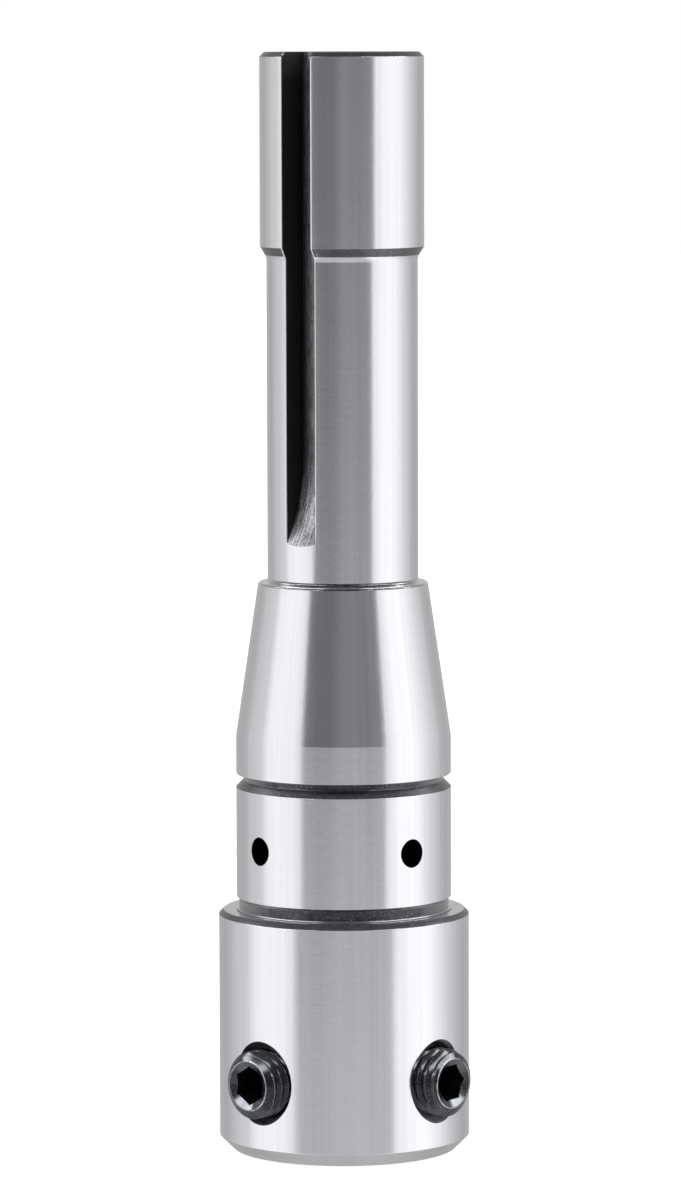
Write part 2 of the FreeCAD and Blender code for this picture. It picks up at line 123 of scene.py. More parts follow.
# Clamping screws and the radial holes
SCREW_HEIGHT = 11.75
SCREW_BEARINGS = {"left": -97.0, "right": -7.0}
HEX_TURNS = {"left": 0.0, "right": -24.0}
SCREW_HOLE_RADIUS = 5.05
SCREW_COUNTERSINK_RADIUS = 6.2
SCREW_RADIUS = 4.97
SCREW_PITCH = 1.5
SCREW_THREAD_DEPTH = 0.84
SCREW_LENGTH = 10.0
SCREW_STAND_OUT = 2.8
SCREW_POINT_RADIUS = 3.5
SCREW_RIM_RADIUS = 3.65
SCREW_RIM_BEVEL = 0.9
HEX_WIDTH = 5.0
HEX_DEPTH = 5.0
HEX_MOUTH_RADIUS = 3.53
COOLANT_HOLE_RADIUS = 2.05
COOLANT_HOLE_HEIGHT = 45.4
COOLANT_HOLE_BEARING = -106.4
COOLANT_EDGE_BREAK = 0.06

# Ejector spring, a hair above the plunger's face
PLUNGER_FACE = 49.0
SPRING_FOOT = PLUNGER_FACE + 0.02
SPRING_WIRE_RADIUS = 0.6
SPRING_MEAN_RADIUS = 4.5
SPRING_COILS = 9
SPRING_CLOSED_COILS = 1.25

# Camera of the photograph: where it stands, and how it is tilted and rolled
CAMERA_AZIMUTH = math.radians(34.6)
CAMERA_DISTANCE = 0.87584
CAMERA_HEIGHT = 0.165196
CAMERA_LEFT = 0.00038
CAMERA_TILT = math.radians(5.465)
CAMERA_ROLL = math.radians(-0.165)
CAMERA_LENS = 179.118
SENSOR_HEIGHT = 36.0


# Node helpers
def new_material(name):
    material = bpy.data.materials.new(name)
    material.use_nodes = True
    material.node_tree.nodes.clear()
    return material


def add_node(tree, kind, **settings):
    node = tree.nodes.new(kind)
    for setting, value in settings.items():
        setattr(node, setting, value)
    return node


def feed(tree, socket, value):
    """Link an output to a socket, or set the socket to a plain value."""
    if isinstance(value, bpy.types.NodeSocket):
        tree.links.new(value, socket)
    else:
        socket.default_value = value


def math_node(tree, operation, *inputs):
    node = add_node(tree, "ShaderNodeMath", operation=operation)
    for socket, value in zip(node.inputs, inputs):
        feed(tree, socket, value)
    return node.outputs[0]


def blend(tree, *shares):
    """The sum of (value, weight) pairs."""
    total = 0.0
    for value, weight in shares:
        total = math_node(tree, "MULTIPLY_ADD", value, weight, total)
    return total


def ramp(tree, factor, stops):
    """A colour ramp through (position, grey or colour) stops."""
    node = add_node(tree, "ShaderNodeValToRGB")
    elements = node.color_ramp.elements
    while len(elements) < len(stops):
        elements.new(0.5)
    for element, (position, tone) in zip(elements, stops):
        shade = tone if isinstance(tone, tuple) else (tone, tone, tone)
        element.position = position
        element.color = (*shade, 1.0)
    feed(tree, node.inputs["Fac"], factor)
    return node.outputs["Color"]


def noise(tree, vector, scale, detail=2.0, roughness=0.5):
    node = add_node(tree, "ShaderNodeTexNoise")
    feed(tree, node.inputs["Vector"], vector)
    node.inputs["Scale"].default_value = scale
    node.inputs["Detail"].default_value = detail
    node.inputs["Roughness"].default_value = roughness
    return node.outputs["Fac"]


def mix(tree, factor, low, high):
    node = add_node(tree, "ShaderNodeMix", data_type="RGBA")
    feed(tree, node.inputs[0], factor)
    feed(tree, node.inputs[6], low if isinstance(low, bpy.types.NodeSocket) else (*low, 1.0))
    feed(tree, node.inputs[7], high if isinstance(high, bpy.types.NodeSocket) else (*high, 1.0))
    return node.outputs[2]


def combine_colours(tree, operation, first, second):
    """Two colours added or multiplied."""
    node = add_node(tree, "ShaderNodeMix", data_type="RGBA", blend_type=operation)
    node.inputs[0].default_value = 1.0
    feed(tree, node.inputs[6], first)
    feed(tree, node.inputs[7], second)
    return node.outputs[2]


def between(tree, factor, low, high):
    """A value that runs from low to high as a factor runs from 0 to 1."""
    node = add_node(tree, "ShaderNodeMapRange")
    feed(tree, node.inputs["Value"], factor)
    node.inputs["To Min"].default_value = low
    node.inputs["To Max"].default_value = high
    return node.outputs["Result"]


def share_between(tree, value, start, end):
    """0 where a value is at its start, 1 where it is at its end, and held beyond."""
    node = add_node(tree, "ShaderNodeMapRange")
    feed(tree, node.inputs["Value"], value)
    node.inputs["From Min"].default_value = start
    node.inputs["From Max"].default_value = end
    return node.outputs["Result"]


def object_point(tree):
    return add_node(tree, "ShaderNodeTexCoord").outputs["Object"]


def turned_point(tree, across, along):
    """Coordinates in which marks run round the Z axis: slow round it, fast along it."""
    axes = add_node(tree, "ShaderNodeSeparateXYZ")
    feed(tree, axes.inputs[0], object_point(tree))
    bearing = math_node(tree, "ARCTAN2", axes.outputs["Y"], axes.outputs["X"])
    joined = add_node(tree, "ShaderNodeCombineXYZ")
    feed(tree, joined.inputs["X"], math_node(tree, "MULTIPLY", bearing, across))
    feed(tree, joined.inputs["Z"], math_node(tree, "MULTIPLY", axes.outputs["Z"], along))
    flat = math_node(tree, "MULTIPLY", axes.outputs["X"], axes.outputs["X"])
    deep = math_node(tree, "MULTIPLY", axes.outputs["Y"], axes.outputs["Y"])
    reach = math_node(tree, "SQRT", math_node(tree, "ADD", flat, deep))
    feed(tree, joined.inputs["Y"], math_node(tree, "MULTIPLY", reach, along))
    return joined.outputs[0]


def bump(tree, height, distance, strength=1.0, normal=None):
    node = add_node(tree, "ShaderNodeBump")
    feed(tree, node.inputs["Height"], height)
    node.inputs["Distance"].default_value = distance
    node.inputs["Strength"].default_value = strength
    if normal is not None:
        feed(tree, node.inputs["Normal"], normal)
    return node.outputs["Normal"]


def worn_edges(tree, width):
    """1 on a sharp outer edge and 0 elsewhere, from how far a rounded normal leaves the true one."""
    rounded = add_node(tree, "ShaderNodeBevel", samples=6)
    rounded.inputs["Radius"].default_value = width
    true = add_node(tree, "ShaderNodeNewGeometry").outputs["Normal"]
    likeness = add_node(tree, "ShaderNodeVectorMath", operation="DOT_PRODUCT")
    feed(tree, likeness.inputs[0], rounded.outputs[0])
    feed(tree, likeness.inputs[1], true)
    return ramp(tree, likeness.outputs["Value"], [(0.86, 1.0), (0.985, 0.0)]), rounded.outputs[0]


def finish_shader(material, **inputs):
    """A Principled surface whose inputs are given by name, as values or as links."""
    tree = material.node_tree
    shader = add_node(tree, "ShaderNodeBsdfPrincipled")
    for name, value in inputs.items():
        feed(tree, shader.inputs[name.replace("_", " ")], value)
    output = add_node(tree, "ShaderNodeOutputMaterial")
    tree.links.new(shader.outputs[0], output.inputs["Surface"])
    return material


# Materials
def ground_steel():
    """Cylindrically ground steel: bright, with a very fine grain round the axis and faint chatter."""
    material = new_material("ground_steel_finish")
    tree = material.node_tree
    grain = noise(tree, turned_point(tree, 3.0, 14000.0), 1.0, 3.0, 0.6)
    chatter = noise(tree, turned_point(tree, 14.0, 1100.0), 1.0, 3.0, 0.6)
    facets = noise(tree, turned_point(tree, 26.0, 9.0), 1.0, 2.0, 0.6)
    bands = noise(tree, turned_point(tree, 9.0, 12.0), 1.0, 2.0, 0.6)
    cloud = noise(tree, object_point(tree), 160.0, 3.0, 0.6)
    specks = noise(tree, object_point(tree), 2600.0, 2.0, 0.6)
    dots = ramp(tree, specks, [(0.66, 0.0), (0.72, 1.0)])
    tone = blend(tree, (bands, 0.45), (facets, 0.3), (grain, 0.25))
    plain = ramp(tree, tone, [(0.34, (0.699, 0.695, 0.737)), (0.66, (0.8, 0.795, 0.84))])
    waves = bump(tree, facets, 0.000003, 1.0, bump(tree, chatter, 0.000006, 1.0))
    return finish_shader(
        material,
        Base_Color=mix(tree, math_node(tree, "MULTIPLY", dots, 0.35), plain, (0.86, 0.86, 0.88)),
        Metallic=1.0,
        Roughness=between(tree, cloud, 0.11, 0.17),
        Normal=bump(tree, grain, 0.0000015, 0.3, waves),
    )


def turned_steel():
    """End faces and bevels left from the lathe: rings of tool marks, a little duller."""
    material = new_material("turned_steel_finish")
    tree = material.node_tree
    rings = noise(tree, turned_point(tree, 0.4, 5200.0), 1.0, 2.0, 0.5)
    return finish_shader(
        material,
        Base_Color=ramp(tree, rings, [(0.3, (0.62, 0.62, 0.64)), (0.7, (0.74, 0.74, 0.76))]),
        Metallic=1.0,
        Roughness=between(tree, rings, 0.26, 0.4),
        Normal=bump(tree, rings, 0.00001, 0.5),
    )


def scale_with_painted_sheen(name, tones, sheen_tone, smoothest=0.26, roughest=0.36):
    """Hardening scale in grooves, holes and on unground edges, with a painted sheen: its colour is painted
    lighter where the surface turns away from the view.
    """
    material = new_material(name)
    tree = material.node_tree
    edges, rounded = worn_edges(tree, 0.00008)
    mottle = noise(tree, object_point(tree), 1100.0, 4.0, 0.6)
    grit = noise(tree, object_point(tree), 4200.0, 2.0, 0.5)
    sparks = ramp(tree, grit, [(0.64, 0.0), (0.7, 1.0)])
    rings = noise(tree, turned_point(tree, 0.6, 3500.0), 1.0, 2.0, 0.5)
    skin = ramp(tree, mottle, [(0.3, tones[0]), (0.5, tones[1]), (0.72, tones[2])])
    # Painted sheen: the colour turns towards the sheen tone where the surface is seen edge-on, standing in
    # for reflected light.
    grazing_share = ramp(tree, add_node(tree, "ShaderNodeLayerWeight").outputs["Facing"], [(0.3, 0.0), (0.85, 1.0)])
    sheened_skin = mix(tree, grazing_share, skin, sheen_tone)
    sparkling = mix(tree, math_node(tree, "MULTIPLY", sparks, 0.45), sheened_skin, (0.6, 0.6, 0.66))
    return finish_shader(
        material,
        Base_Color=mix(tree, math_node(tree, "MULTIPLY", edges, 0.3), sparkling, (0.5, 0.5, 0.53)),
        Metallic=1.0,
        Roughness=between(tree, mottle, smoothest, roughest),
        Normal=bump(tree, rings, 0.000003, 0.4, rounded),
    )


def milled_keyway():
    """Keyway: black on its walls and high on its floor, partly scale and partly painted shade of the deep
    slot, and a run-out scored by the disc cutter, with painted light on its left side near the tip.
    """
    material = new_material("milled_keyway")
    tree = material.node_tree
    place_here = object_point(tree)

    def streaks(scale, detail):
        stretch = add_node(tree, "ShaderNodeMapping")
        feed(tree, stretch.inputs["Vector"], place_here)
        stretch.inputs["Scale"].default_value = scale
        return noise(tree, stretch.outputs[0], 1.0, detail, 0.6)

    lines = streaks((10500.0, 300.0, 300.0), 4.0)
    grit = noise(tree, place_here, 4500.0, 2.0, 0.5)
    fine = blend(tree, (lines, 0.72), (grit, 0.28))
    scores = ramp(tree, streaks((2300.0, 90.0, 80.0), 2.0), [(0.35, 0.0), (0.4, 1.0)])
    axes = add_node(tree, "ShaderNodeSeparateXYZ")
    feed(tree, axes.inputs[0], place_here)
    facing = add_node(tree, "ShaderNodeSeparateXYZ")
    feed(tree, facing.inputs[0], add_node(tree, "ShaderNodeNewGeometry").outputs["True Normal"])
    # Walls: near black, black scale and painted shade of the deep slot.
    floor = ramp(tree, math_node(tree, "ABSOLUTE", facing.outputs["X"]), [(0.3, 1.0), (0.6, 0.0)])
    # High up the floor is near black too, scale and painted shade; lower down it gives way to the run-out.
    low = share_between(tree, axes.outputs["Z"], KEYWAY_SCALE_AND_SHADE_HEAD * MM, KEYWAY_SCALE_AND_SHADE_FOOT * MM)
    bare = ramp(tree, fine, [
        (0.38, (0.03, 0.03, 0.035)), (0.5, (0.2, 0.204, 0.22)), (0.61, (0.58, 0.59, 0.62))])
    scored = mix(tree, scores, (0.02, 0.02, 0.024), bare)
    # Painted light: near the tip, the run-out's left side is lightened where the left wall shades it.
    tip = share_between(tree, axes.outputs["Z"], KEYWAY_PAINTED_LIGHT_HEAD * MM, KEYWAY_PAINTED_LIGHT_FOOT * MM)
    left = share_between(tree, axes.outputs["X"], KEYWAY_WIDTH / 8 * MM, -KEYWAY_WIDTH / 2 * MM)
    bright = ramp(tree, fine, [
        (0.38, (0.2, 0.2, 0.21)), (0.5, (0.6, 0.605, 0.63)), (0.61, (0.95, 0.95, 0.97))])
    run_out = mix(tree, math_node(tree, "MULTIPLY", tip, left), scored, bright)
    # Painted shade: the high floor darkens towards the walls, where the slot shades it.
    across = math_node(tree, "ABSOLUTE", axes.outputs["X"])
    clear_of_wall_shade = share_between(tree, across, KEYWAY_WIDTH / 2 * MM, KEYWAY_WIDTH / 7 * MM)
    lit = ramp(tree, fine, [(0.41, (0.1, 0.1, 0.105)), (0.62, (0.6, 0.6, 0.62))])
    high = mix(tree, clear_of_wall_shade, (0.008, 0.008, 0.009), lit)
    bottom = mix(tree, low, high, run_out)
    return finish_shader(
        material,
        Base_Color=mix(tree, floor, (0.01, 0.01, 0.0105), bottom),
        Metallic=between(tree, floor, 0.0, 0.6),
        Specular_IOR_Level=0.25,
        Roughness=between(tree, fine, 0.42, 0.56),
        Normal=bump(tree, fine, 0.00004, 0.8),
    )


def black_oxide(name, lightest, index=1.58):
    """Blackened steel with a thin oil coat and fine specks, rubbed bright on its edges."""
    material = new_material(name)
    tree = material.node_tree
    edges, rounded = worn_edges(tree, 0.00012)
    mottle = noise(tree, object_point(tree), 1400.0, 4.0, 0.6)
    grit = noise(tree, object_point(tree), 4600.0, 2.0, 0.5)
    specks = ramp(tree, grit, [(0.56, (0.0, 0.0, 0.0)), (0.68, (0.05, 0.052, 0.07))])
    rub = math_node(tree, "MULTIPLY", edges, between(tree, mottle, 0.35, 1.0))
    smooth_skin = ramp(tree, mottle, [(0.3, tuple(tone * 0.5 for tone in lightest)), (0.7, lightest)])
    skin = combine_colours(tree, "ADD", smooth_skin, specks)
    return finish_shader(
        material,
        Base_Color=mix(tree, rub, skin, (0.5, 0.51, 0.54)),
        Metallic=between(tree, rub, 0.0, 1.0),
        IOR=index,
        Specular_Tint=(0.9, 0.93, 1.0, 1.0),
        Roughness=between(tree, mottle, 0.11, 0.2),
        Normal=bump(tree, mottle, 0.000004, 0.5, rounded),
    )


def socket_painted_shade():
    """Inside of the screws' sockets: matt black, painted shade of the deep socket."""
    material = new_material("socket_painted_shade")
    tree = material.node_tree
    soot = noise(tree, object_point(tree), 1200.0, 3.0, 0.6)
    return finish_shader(
        material,
        Base_Color=ramp(tree, soot, [(0.35, (0.003, 0.003, 0.003)), (0.7, (0.007, 0.007, 0.008))]),
        Specular_IOR_Level=0.1,
        Roughness=between(tree, soot, 0.5, 0.7),
    )


def rubbed_rim():
    """Thin rim where the key has worn the black skin through to grey steel."""
    material = new_material("rubbed_rim")
    tree = material.node_tree
    wear = noise(tree, object_point(tree), 900.0, 3.0, 0.6)
    return finish_shader(
        material,
        Base_Color=ramp(tree, wear, [(0.35, (0.12, 0.122, 0.13)), (0.65, (0.5, 0.505, 0.53))]),
        Metallic=1.0,
        Roughness=between(tree, wear, 0.22, 0.36),
    )


def drawn_wire():
    """Spring wire: grey, with fine lines and a light oil sheen."""
    material = new_material("drawn_spring_wire")
    tree = material.node_tree
    lines = noise(tree, object_point(tree), 2600.0, 3.0, 0.6)
    return finish_shader(
        material,
        Base_Color=ramp(tree, lines, [(0.3, (0.4, 0.4, 0.42)), (0.7, (0.56, 0.56, 0.58))]),
        Metallic=1.0,
        Roughness=between(tree, lines, 0.22, 0.36),
        Normal=bump(tree, lines, 0.000008, 0.5),
    )


def hardened_pin():
    """Ground and hardened plunger: bright, with rings round its axis."""
    material = new_material("hardened_pin_finish")
    tree = material.node_tree
    rings = noise(tree, turned_point(tree, 0.8, 7000.0), 1.0, 3.0, 0.6)
    return finish_shader(
        material,
        Base_Color=ramp(tree, rings, [(0.3, (0.56, 0.56, 0.58)), (0.7, (0.68, 0.68, 0.7))]),
        Metallic=1.0,
        Roughness=between(tree, rings, 0.18, 0.3),
        Normal=bump(tree, rings, 0.000006, 0.5),
    )


# Mesh helpers
def new_object(name, points, faces):
    mesh = bpy.data.meshes.new(name)
    mesh.from_pydata([Vector(point) * MM for point in points], [], faces)
    mesh.validate()
    item = bpy.data.objects.new(name, mesh)
    bpy.context.scene.collection.objects.link(item)
    outward(item)
    return item


def outward(item):
    """Turn all faces of a closed mesh to the outside."""
    shell = bmesh.new()
    shell.from_mesh(item.data)
    bmesh.ops.remove_doubles(shell, verts=shell.verts, dist=1e-8)
    bmesh.ops.recalc_face_normals(shell, faces=shell.faces)
    shell.to_mesh(item.data)
    shell.free()


def rounded_outline(corners, steps=3):
    """Replace each corner (radius, height, rounding, finish) by an arc; a finish starts at its corner."""
    points = []
    for index, (across, up, rounding, finish) in enumerate(corners):
        here = Vector((across, up))
        if rounding == 0 or index in (0, len(corners) - 1):
            points.append((here, finish))
            continue
        back = (Vector(corners[index - 1][:2]) - here).normalized()
        ahead = (Vector(corners[index + 1][:2]) - here).normalized()
        opening = back.angle(ahead)
        reach = rounding / math.tan(opening / 2)
        middle = here + (back + ahead).normalized() * rounding / math.sin(opening / 2)
        start = here + back * reach - middle
        end = here + ahead * reach - middle
        sweep = start.angle_signed(end)
        before = corners[index - 1][3]
        for step in range(steps + 1):
            turned = start.copy()
            turned.rotate(Matrix.Rotation(-sweep * step / steps, 2))
            points.append((middle + turned, finish if step == steps else min(before, finish)))
    return points


def lathe(name, corners, segments, materials):
    """Turn an outline of corners round the Z axis, each stretch of it with its own finish."""
    outline = rounded_outline(corners)
    points = []
    rings = []
    for (place, finish) in outline:
        ring = []
        for step in range(segments if place.x > 1e-6 else 1):
            bearing = 2 * math.pi * step / segments
            ring.append(len(points))
            points.append((place.x * math.cos(bearing), place.x * math.sin(bearing), place.y))
        rings.append(ring)
    faces = []
    finishes = []
    for (low, high), (place, finish) in zip(zip(rings, rings[1:]), outline):
        for step in range(segments):
            following = (step + 1) % segments
            corners_here = [low[step % len(low)], low[following % len(low)],
                            high[following % len(high)], high[step % len(high)]]
            face = list(dict.fromkeys(corners_here))
            if len(face) > 2:
                faces.append(face)
                finishes.append(finish)
    item = new_object(name, points, faces)
    for material in materials:
        item.data.materials.append(material)
    for face, finish in zip(item.data.polygons, finishes):
        face.material_index = finish
    return item


def combine(item, tool, operation):
    """Cut a tool out of an item, or keep what both share; what is cut takes the tool's material."""
    modifier = item.modifiers.new("cut", "BOOLEAN")
    modifier.operation = operation
    modifier.solver = "EXACT"
    modifier.material_mode = "TRANSFER"
    modifier.object = tool
    shaped = item.evaluated_get(bpy.context.evaluated_depsgraph_get())
    mesh = bpy.data.meshes.new_from_object(shaped)
    item.modifiers.clear()
    item.data = mesh
    bpy.data.objects.remove(tool)
    return item


def place(item, matrix):
    item.data.transform(matrix)
    return item


def radial_matrix(bearing, height, outward_reach=0.0):
    """Local +Z points out along a bearing, local +X points down."""
    turn = math.radians(bearing)
    out = Vector((math.cos(turn), math.sin(turn), 0))
    side = Vector((-math.sin(turn), math.cos(turn), 0))
    down = Vector((0, 0, -1))
    matrix = Matrix((down, side, out)).transposed().to_4x4()
    matrix.translation = (out * outward_reach + Vector((0, 0, height))) * MM
    return matrix


def smooth(item, sharp_angle=35.0):
    """Smooth shading inside sharp edges, with flat stretches kept flat next to small roundings."""
    item.data.shade_smooth()
    item.data.set_sharp_from_angle(angle=math.radians(sharp_angle))
    modifier = item.modifiers.new("normals", "WEIGHTED_NORMAL")
    modifier.mode = "FACE_AREA"
    modifier.keep_sharp = True
    return item


def sharpen_ring(item, height):
    """Keep a shallow edge that runs round the Z axis at one height crisp."""
    places = [vertex.co.z for vertex in item.data.vertices]
    for edge in item.data.edges:
        if all(abs(places[corner] - height * MM) < 1e-7 for corner in edge.vertices):
            edge.use_edge_sharp = True


# Arbor
# A rounding takes the first of its two neighbours' finishes in this list
UNGROUND, GROUND, TURNED, DULL, SCALE, MILLED, DRILLED, SUNK_PAINTED_LIGHT = range(8)


def arbor_corners():
    """Half section of the arbor, from the top of the chamber down and round to the drawbar hole."""
    groove_radius = SEAT_RADIUS - LOWER_GROOVE_DEPTH
    upper_radius = SEAT_RADIUS - UPPER_GROOVE_DEPTH
    ledge_radius = groove_radius + LEDGE_WIDTH
    ledge_top = NOSE_LENGTH + LEDGE_RISE
    land_foot = UPPER_GROOVE_TOP + LAND_EDGE_BREAK
    hole_radius = DRAWBAR_THREAD_RADIUS + DRAWBAR_THREAD_DEPTH
    mouth_radius = DRAWBAR_THREAD_RADIUS + DRAWBAR_MOUTH_BEVEL
    hole_end = SHANK_TOP - DRAWBAR_DEPTH
    ring_groove_top = RING_GROOVE_FOOT + RING_GROOVE_WIDTH
    return [
        (0.0, CHAMBER_TOP + CHAMBER_RADIUS / 2 * DRILL_POINT_SLOPE, 0, DRILLED),
        (CHAMBER_RADIUS / 2, CHAMBER_TOP, 0, DRILLED),
        (CHAMBER_RADIUS, CHAMBER_TOP, 0, DRILLED),
        (CHAMBER_RADIUS, ring_groove_top, 0, DRILLED),
        (RING_GROOVE_RADIUS, ring_groove_top, 0, DRILLED),
        (RING_GROOVE_RADIUS, RING_GROOVE_FOOT, 0, DRILLED),
        (CHAMBER_RADIUS, RING_GROOVE_FOOT, 0, DRILLED),
        (CHAMBER_RADIUS, SOCKET_DEPTH, EDGE_BREAK, TURNED),
        (SOCKET_RADIUS, SOCKET_DEPTH, 0.2, GROUND),
        (SOCKET_RADIUS, SOCKET_BEVEL, EDGE_BREAK, TURNED),
        (SOCKET_RADIUS + SOCKET_BEVEL, 0.0, EDGE_BREAK, TURNED),
        (NOSE_RADIUS - NOSE_BEVEL, 0.0, 0.2, TURNED),
        (NOSE_RADIUS, NOSE_BEVEL, 0.15, GROUND),
        (NOSE_RADIUS, NOSE_LENGTH - NOSE_TOP_BEVEL, 0.03, DULL),
        (NOSE_RADIUS - NOSE_TOP_BEVEL, NOSE_LENGTH, 0.02, GROUND),
        (ledge_radius, NOSE_LENGTH, 0, DULL),
        (ledge_radius, ledge_top, 0.05, GROUND),
        (groove_radius, ledge_top, 0, SCALE),
        (groove_radius, LOWER_GROOVE_TOP, 0.15, SCALE),
        (SEAT_RADIUS, LOWER_GROOVE_TOP + LOWER_GROOVE_DEPTH, 0.03, GROUND),
        (SEAT_RADIUS, SEAT_TOP - UPPER_GROOVE_DEPTH, 0.02, DULL),
        (upper_radius, SEAT_TOP, 0.1, SCALE),
        (upper_radius, UPPER_GROOVE_TOP, 0.12, SCALE),
        (LAND_RADIUS - LAND_EDGE_BREAK, UPPER_GROOVE_TOP, 0.04, GROUND),
        (LAND_RADIUS, land_foot, 0.06, GROUND),
        (LAND_RADIUS, LAND_TOP, 0, GROUND),
        (SHOULDER_RADIUS, SHOULDER, SHOULDER_EDGE_RADIUS, UNGROUND),
        (NECK_RADIUS, SHOULDER, NECK_FOOT_RADIUS, GROUND),
        (NECK_RADIUS, NECK_TOP, NECK_HEAD_RADIUS, DULL),
        (COLLAR_RADIUS, COLLAR_FOOT, 0.03, GROUND),
        (COLLAR_RADIUS, SHANK_TOP - COLLAR_BEVEL, 0.04, DULL),
        (COLLAR_RADIUS - COLLAR_BEVEL, SHANK_TOP, EDGE_BREAK, TURNED),
        (mouth_radius, SHANK_TOP, EDGE_BREAK, TURNED),
        (hole_radius, SHANK_TOP - (mouth_radius - hole_radius), 0, DRILLED),
        (hole_radius, hole_end, 0, DRILLED),
        (0.0, hole_end - DRAWBAR_THREAD_RADIUS * DRILL_POINT_SLOPE, 0, DRILLED),
    ]


def keyway_tool(material):
    """What the disc cutter sweeps: a straight floor, its run-out arc and its rounded corners."""
    half = KEYWAY_WIDTH / 2
    flat = half - KEYWAY_CORNER_RADIUS
    arc_steps = 6
    right = []
    for step in range(arc_steps + 1):
        turn = math.pi / 2 * step / arc_steps
        right.append((flat + KEYWAY_CORNER_RADIUS * math.cos(turn),
                      KEYWAY_CORNER_RADIUS * (1 - math.sin(turn))))
    left = [(-across, lift) for across, lift in reversed(right)]
    section = right + left
    last_centre = SHANK_TOP - KEYWAY_FULL_LENGTH
    top = SHANK_TOP + OVERSHOOT
    outer = -2 * COLLAR_RADIUS
    centre = -(KEYWAY_FLOOR + KEYWAY_CUTTER_RADIUS)
    sweep_steps = 48
    sweep_end = math.radians(60)
    points = []
    rows = []
    for across, lift in section:
        radius = KEYWAY_CUTTER_RADIUS - lift
        row = [(across, centre + radius, top)]
        for step in range(sweep_steps + 1):
            turn = sweep_end * step / sweep_steps
            row.append((across, centre + radius * math.cos(turn), last_centre - radius * math.sin(turn)))
        rows.append(row)
    count = len(rows[0])
    for row in rows:
        points.extend(row)
    for row in rows:
        points.extend((point[0], outer, point[2]) for point in row)
    skins = len(rows) * count
    faces = []
    for lane in range(len(rows) - 1):
        for step in range(count - 1):
            a = lane * count + step
            faces.append((a, a + 1, a + count + 1, a + count))
            faces.append((skins + a, skins + a + count, skins + a + count + 1, skins + a + 1))
    for step in range(count - 1):
        last = (len(rows) - 1) * count + step
        faces.append((step, skins + step, skins + step + 1, step + 1))
        faces.append((last, last + 1, skins + last + 1, skins + last))
    for lane in range(len(rows) - 1):
        a = lane * count
        b = a + count - 1
        faces.append((a, a + count, skins + a + count, skins + a))
        faces.append((b, skins + b, skins + b + count, b + count))
    tool = new_object("keyway_tool", points, faces)
    tool.data.materials.append(material)
    return tool


def edge_break_tool(material):
    """A bar whose two lower corners are hollow: it rounds both outer edges of the keyway."""
    half = KEYWAY_WIDTH / 2
    steps = 5
    far = -COLLAR_RADIUS - 2 * OVERSHOOT
    foot = SHANK_TOP - KEYWAY_FULL_LENGTH - KEYWAY_RUNOUT_LENGTH
    stations = [
        (foot, NECK_RADIUS, 0.04),
        (foot + 1.5, NECK_RADIUS, KEYWAY_EDGE_BREAK),
        (NECK_TOP, NECK_RADIUS, KEYWAY_EDGE_BREAK),
        (COLLAR_FOOT, COLLAR_RADIUS, KEYWAY_EDGE_BREAK),
        (SHANK_TOP - COLLAR_BEVEL - 0.3, COLLAR_RADIUS, KEYWAY_EDGE_BREAK),
        (SHANK_TOP - COLLAR_BEVEL, COLLAR_RADIUS, 0.05),
        (SHANK_TOP + OVERSHOOT, COLLAR_RADIUS - COLLAR_BEVEL - OVERSHOOT, 0.05),
    ]
    points = []
    for height, radius, rounding in stations:
        corner = Vector((half, -math.sqrt(radius * radius - half * half)))
        wall = Vector((half, corner.y + rounding))
        skin = Vector((half + rounding, -math.sqrt(radius * radius - (half + rounding) ** 2)))
        curve = []
        for step in range(steps + 1):
            share = step / steps
            curve.append(wall * (1 - share) ** 2 + corner * 2 * share * (1 - share) + skin * share ** 2)
        section = curve + [Vector((skin.x, far))]
        mirrored = [Vector((-point.x, point.y)) for point in reversed(section)]
        points.extend((point.x, point.y, height) for point in section + mirrored)
    around = 2 * (steps + 2)
    last = len(points) - around
    faces = [tuple(range(around)), tuple(last + corner for corner in reversed(range(around)))]
    for station in range(len(stations) - 1):
        low = station * around
        high = low + around
        for corner in range(around):
            following = (corner + 1) % around
            faces.append((low + corner, low + following, high + following, high + corner))
    tool = new_object("edge_break_tool", points, faces)
    tool.data.materials.append(material)
    return tool


def make_arbor(finishes):
    arbor = lathe("arbor", arbor_corners(), 512, finishes)
    drilled = finishes[DRILLED]
    combine(arbor, edge_break_tool(finishes[GROUND]), "DIFFERENCE")
    combine(arbor, keyway_tool(finishes[MILLED]), "DIFFERENCE")
    sunk = NOSE_RADIUS - (SCREW_COUNTERSINK_RADIUS - SCREW_HOLE_RADIUS)
    beyond = NOSE_RADIUS + OVERSHOOT
    for side, bearing in SCREW_BEARINGS.items():
        # Painted light: the right countersink takes a lighter copy of the scale than the left
        countersink = finishes[SCALE if side == "left" else SUNK_PAINTED_LIGHT]
        tool = lathe("screw_hole_tool", [
            (0.0, 4.0, 0, 0),
            (SCREW_HOLE_RADIUS, 4.0, 0, 0),
            (SCREW_HOLE_RADIUS, sunk, 0, 1),
            (SCREW_COUNTERSINK_RADIUS + OVERSHOOT, beyond, 0, 1),
            (0.0, beyond, 0, 1),
        ], 96, [drilled, countersink])
        combine(arbor, place(tool, radial_matrix(bearing, SCREW_HEIGHT)), "DIFFERENCE")
    wide = COOLANT_HOLE_RADIUS + COOLANT_EDGE_BREAK
    for quarter in range(4):
        tool = lathe("coolant_tool", [
            (0.0, 3.0, 0, 0),
            (COOLANT_HOLE_RADIUS, 3.0, 0, 0),
            (COOLANT_HOLE_RADIUS, SEAT_RADIUS - COOLANT_EDGE_BREAK, 0, 0),
            (wide + OVERSHOOT, SEAT_RADIUS + OVERSHOOT, 0, 0),
            (0.0, SEAT_RADIUS + OVERSHOOT, 0, 0),
        ], 64, [drilled])
        bearing = COOLANT_HOLE_BEARING + 90.0 * quarter
        combine(arbor, place(tool, radial_matrix(bearing, COOLANT_HOLE_HEIGHT)), "DIFFERENCE")
    smooth(arbor)
    sharpen_ring(arbor, LAND_TOP)
    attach(arbor, "holder")
    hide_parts("holder_body")
    return arbor


